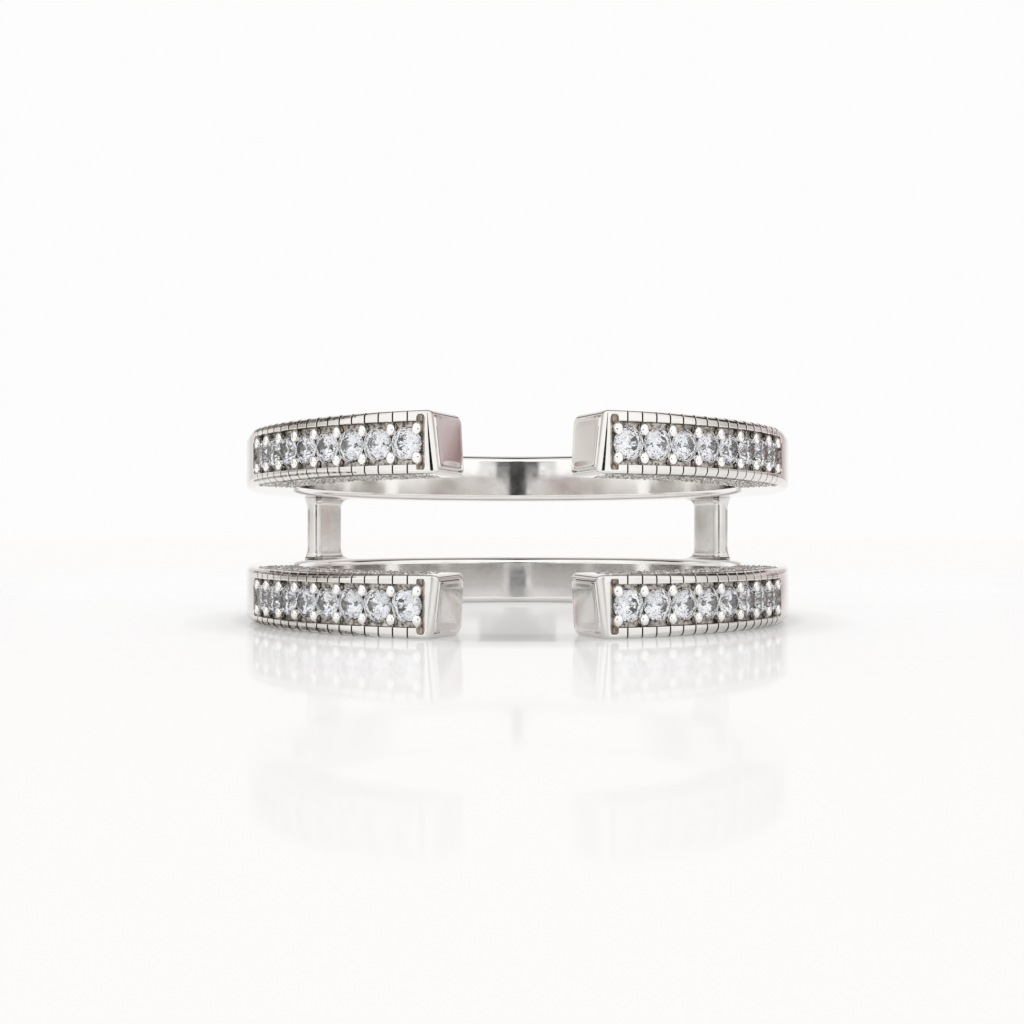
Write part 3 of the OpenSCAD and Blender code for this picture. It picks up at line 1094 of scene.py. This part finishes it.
def floor_gloss(tree, radius, behind):
    """Mirror share of the floor."""
    facing = add_node(tree, "ShaderNodeLayerWeight", {"Blend": 0.5}).outputs["Facing"]
    around = grey_ramp(tree, facing, FLOOR_GLOSS)
    inside = grey_ramp(tree, facing, BORE_GLOSS)
    share = blend(tree, around, inside, fall(tree, radius, BORE_EDGE))
    reach = times(tree, fall(tree, behind, GLOSS_END), fall(tree, radius, GLOSS_REACH))
    return times(tree, share, reach)


def floor_body(tree, radius):
    """Matt white with a light of its own, which is dimmer under the ring."""
    tone = (FLOOR_TONE, FLOOR_TONE, FLOOR_TONE, 1)
    matt = add_node(tree, "ShaderNodeBsdfDiffuse", {"Color": tone})
    reach = rise(tree, radius, (0.0, SHADE_REACH))
    light = {"Color": (*FLOOR_LIGHT, 1), "Strength": grey_ramp(tree, reach, FLOOR_SHADE)}
    glow = add_node(tree, "ShaderNodeEmission", light)
    both = {0: matt.outputs["BSDF"], 1: glow.outputs["Emission"]}
    return add_node(tree, "ShaderNodeAddShader", both).outputs["Shader"]


def floor_material():
    """Pale glossy board, lit from within so that it runs into the white background."""
    material, tree, shader = new_material("pale_floor")
    tree.nodes.remove(shader)
    x, behind, _ = coordinates(tree, "Object")
    flat = add_node(tree, "ShaderNodeCombineXYZ", {0: x, 1: behind}).outputs[0]
    length = add_node(tree, "ShaderNodeVectorMath", {0: flat})
    length.operation = "LENGTH"
    radius = length.outputs["Value"]
    gloss = add_node(tree, "ShaderNodeBsdfGlossy", {"Roughness": 0.05, "Color": (1, 1, 1, 1)})
    share, body = floor_gloss(tree, radius, behind), floor_body(tree, radius)
    both = add_node(tree, "ShaderNodeMixShader", {"Fac": share, 1: body, 2: gloss.outputs["BSDF"]})
    feed(tree, tree.nodes["Material Output"], {"Surface": both.outputs["Shader"]})
    return material


def make_floor():
    z = -HALF_H
    far = FLOOR_HALF / MM
    corners = [(-far, -far, z), (far, -far, z), (far, far, z), (-far, far, z)]
    floor = make_object("floor", corners, [[0, 1, 2, 3]], floor_material())


# Tones of the studio to the left, to the right and above, by shares of the way from front to back
FRONT_TONES = ((0.0, (1.15, 1.15, 1.13)), (0.34, (1.12, 1.11, 1.09)), (0.42, (0.84, 0.82, 0.80)))
LEFT_TONES = FRONT_TONES + (
    (0.55, (0.52, 0.50, 0.475)), (0.64, (0.55, 0.52, 0.49)), (0.74, (0.92, 0.91, 0.86)),
    (0.83, (0.94, 0.92, 0.88)), (0.91, (0.74, 0.71, 0.70)), (1.0, (0.98, 0.98, 0.98)),
)
RIGHT_TONES = FRONT_TONES + (
    (0.55, (0.58, 0.55, 0.52)), (0.65, (0.68, 0.62, 0.59)), (0.75, (0.72, 0.59, 0.585)),
    (0.815, (0.38, 0.25, 0.245)), (0.86, (0.62, 0.52, 0.52)), (0.91, (0.66, 0.58, 0.58)),
    (1.0, (0.98, 0.98, 0.98)),
)
ABOVE_TONES = (
    (0.0, (1.1, 1.09, 1.07)), (0.45, (1.0, 0.98, 0.95)), (0.6, (0.62, 0.59, 0.56)),
    (0.8, (0.58, 0.55, 0.53)), (1.0, (0.85, 0.84, 0.83)),
)

# Studio, by directions from the ring as parts of a unit vector: to the right, backwards and up. A band
# is its middle, half width and soft edge, a patch a band across and one upwards, and a pair is where
# something begins and where it is complete
LEFT_TO_RIGHT = (-0.2, 0.2)
ABOVE = (0.25, 0.5)
OVERHEAD = (0.3, 0.5)
AT_SIDES = (0.6, 0.9)
LOW = (0.03, 0.09)
LOW_SHARE = 0.3
LOW_TONE = (0.36, 0.35, 0.33)
BEHIND = (0.3, 0.4)
RAISED = (0.13, 0.25)
RAISED_SHARE = 0.8
RAISED_TONE = (0.78, 0.71, 0.72)
CORNERS = ((0.6, 0.08, 0.04), (0.43, 0.04, 0.03))
CORNER_TONE = (0.09, 0.075, 0.075)
BACKDROP = ((0.0, 0.4, 0.2), (0.0, 0.45, 0.2))
BACKDROP_BEHIND = (0.3, 0.5)
WHITE_TONE = (0.98, 0.98, 0.98)
SLOT = (-0.27, 0.24, 0.08)
SLOT_TONE = (0.05, 0.04, 0.032)

# Dark stand in front: base, stem, bar, and a mast that is wider below, with its top, widening, least
# and greatest half width, edge, beginning and end
STAND_BASE = ((0.0, 0.27, 0.04), (0.0, 0.034, 0.004))
STAND_STEM = ((0.0, 0.07, 0.03), (0.045, 0.015, 0.004))
STAND_BAR = ((0.0, 0.2, 0.03), (0.064, 0.009, 0.003))
MAST_TOP = 0.163
MAST_WIDENING = 7.2
MAST_HALF = (0.03, 0.36)
MAST_EDGE = 0.04
MAST_FROM = (0.073, 0.078)
MAST_TO = (0.2, 0.24)
IN_FRONT = (-0.5, -0.4)
STAND_TONE = (0.015, 0.013, 0.013)


def band(tree, value, middle, half, soft):
    """1 within half of the middle, falling to 0 over the soft width."""
    off = calc(tree, "ABSOLUTE", calc(tree, "SUBTRACT", value, middle))
    return fall(tree, off, (half, half + soft))


def patch(tree, x, z, across, upwards):
    return times(tree, band(tree, x, *across), band(tree, z, *upwards))


def studio_walls(tree, x, y, z):
    """Walls and ceiling that are bright in front and behind, and darker and warmer between."""
    depth = rise(tree, y, (-1.0, 1.0))
    left, right = ramp(tree, depth, LEFT_TONES), ramp(tree, depth, RIGHT_TONES)
    tone = blend(tree, left, right, rise(tree, x, LEFT_TO_RIGHT))
    above = rise(tree, z, ABOVE)
    tone = blend(tree, tone, ramp(tree, depth, ABOVE_TONES), above)
    sides = rise(tree, calc(tree, "ABSOLUTE", x), AT_SIDES)
    low = times(tree, sides, map_range(tree, z, LOW_SHARE, 0.0, at=LOW))
    return blend(tree, tone, LOW_TONE, low)


def studio_back(tree, tone, x, y, z):
    """Adds a warm wall, dark corners and a backdrop behind the ring, and a dark slot above it."""
    behind = rise(tree, y, BEHIND)
    raised = times(tree, behind, map_range(tree, z, 0.0, RAISED_SHARE, at=RAISED))
    tone = blend(tree, tone, RAISED_TONE, raised)
    sideways = calc(tree, "ABSOLUTE", x)
    corners = times(tree, patch(tree, sideways, z, *CORNERS), behind)
    tone = blend(tree, tone, CORNER_TONE, corners)
    far = rise(tree, y, BACKDROP_BEHIND)
    backdrop = times(tree, patch(tree, x, z, *BACKDROP), far)
    tone = blend(tree, tone, WHITE_TONE, backdrop)
    bent = calc(tree, "SUBTRACT", y, sideways)
    overhead = rise(tree, z, OVERHEAD)
    return blend(tree, tone, SLOT_TONE, times(tree, band(tree, bent, *SLOT), overhead))


def dark_stand(tree, x, y, z):
    """Mask of the dark stand in front of the ring."""
    widening = times(tree, calc(tree, "SUBTRACT", MAST_TOP, z), MAST_WIDENING)
    half = calc(tree, "MAXIMUM", calc(tree, "MINIMUM", widening, MAST_HALF[1]), MAST_HALF[0])
    off = calc(tree, "SUBTRACT", calc(tree, "ABSOLUTE", x), half)
    mast = times(tree, fall(tree, off, (0.0, MAST_EDGE)), rise(tree, z, MAST_FROM))
    mask = times(tree, mast, fall(tree, z, MAST_TO))
    for part in (STAND_BASE, STAND_STEM, STAND_BAR):
        mask = calc(tree, "MAXIMUM", mask, patch(tree, x, z, *part))
    return times(tree, mask, fall(tree, y, IN_FRONT))


def make_world():
    """Bright studio that the metal mirrors. The camera itself sees plain white."""
    world = bpy.data.worlds.new("studio")
    bpy.context.scene.world = world
    world.use_nodes = True
    tree = world.node_tree
    tree.nodes.clear()
    x, y, z = coordinates(tree, "Generated")
    tone = studio_back(tree, studio_walls(tree, x, y, z), x, y, z)
    tone = blend(tree, tone, STAND_TONE, dark_stand(tree, x, y, z))
    path = tree.nodes.new("ShaderNodeLightPath")
    seen = blend(tree, tone, WHITE_TONE, path.outputs["Is Camera Ray"])
    background = add_node(tree, "ShaderNodeBackground", {"Color": seen})
    lit = {"Surface": background.outputs["Background"]}
    add_node(tree, "ShaderNodeOutputWorld", lit)


# Camera in millimetres, with its focal length on a 36 mm sensor and its shift in frame widths
CAMERA_PLACE = (0.0, -42.8, -0.4)
CAMERA_LENS = 37.72
CAMERA_SHIFT = (-0.0054, 0.0249)


def make_camera():
    data = bpy.data.cameras.new("camera")
    data.lens = CAMERA_LENS
    data.sensor_width = 36
    data.shift_x, data.shift_y = CAMERA_SHIFT
    data.clip_start = 0.001
    camera = bpy.data.objects.new("camera", data)
    camera.location = [c * MM for c in CAMERA_PLACE]
    camera.rotation_euler = (math.radians(90), 0, 0)
    bpy.context.scene.collection.objects.link(camera)
    bpy.context.scene.camera = camera


def make_metal():
    """The metal's skin, in place of the plain solid."""
    metals = {name: metal(name) for name in METALS}
    band_metals = [metals[name] for name in BAND_METALS]
    dark, bright = metals["channel_shade_silver"], metals["lit_bead_silver"]
    verts, faces, marks = band_mesh()
    pieces = [
        make_object("upper_band", verts, faces, *band_metals, marks=marks),
        make_object("lower_band", flip(verts, False, True), faces, *band_metals, marks=marks),
        # The channel's floors get the silver with painted shade
        make_object("channel_floors", *in_all_arms(*bed_mesh()), dark),
        # The beads get the lighter silver, painted highlight
        make_object("bead_prongs", *in_all_arms(*bead_mesh()), bright),
        # The rims at the seats are a painted highlight at the stones' edges
        make_object("seat_rims", *in_all_arms(*rim_mesh()), bright),
        make_object(
            "gap_side_grains", *in_all_arms(*grain_mesh()), metals["grain_silver"], smooth_angle=25,
        ),
    ]
    verts, faces = post_mesh()
    pieces += [
        # The posts get the darker, rougher silver, painted shade
        make_object("right_post", verts, faces, metals["satin_shade_silver"]),
        make_object("left_post", flip(verts, True, False), faces, metals["satin_shade_silver"]),
    ]
    for piece in pieces:
        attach(piece, "root")
        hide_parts("ring_body")


def dress_stones():
    """Gives the solids of the stones their material and keeps their facets sharp."""
    material = stone_material()
    for name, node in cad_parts.items():
        if name.startswith("stone_"):
            node.data.materials.clear()
            node.data.materials.append(material)
            node.data.polygons.foreach_set("use_smooth", [False] * len(node.data.polygons))


make_camera()
make_world()
make_floor()
make_metal()
dress_stones()
bpy.context.scene.view_settings.view_transform = "Standard"
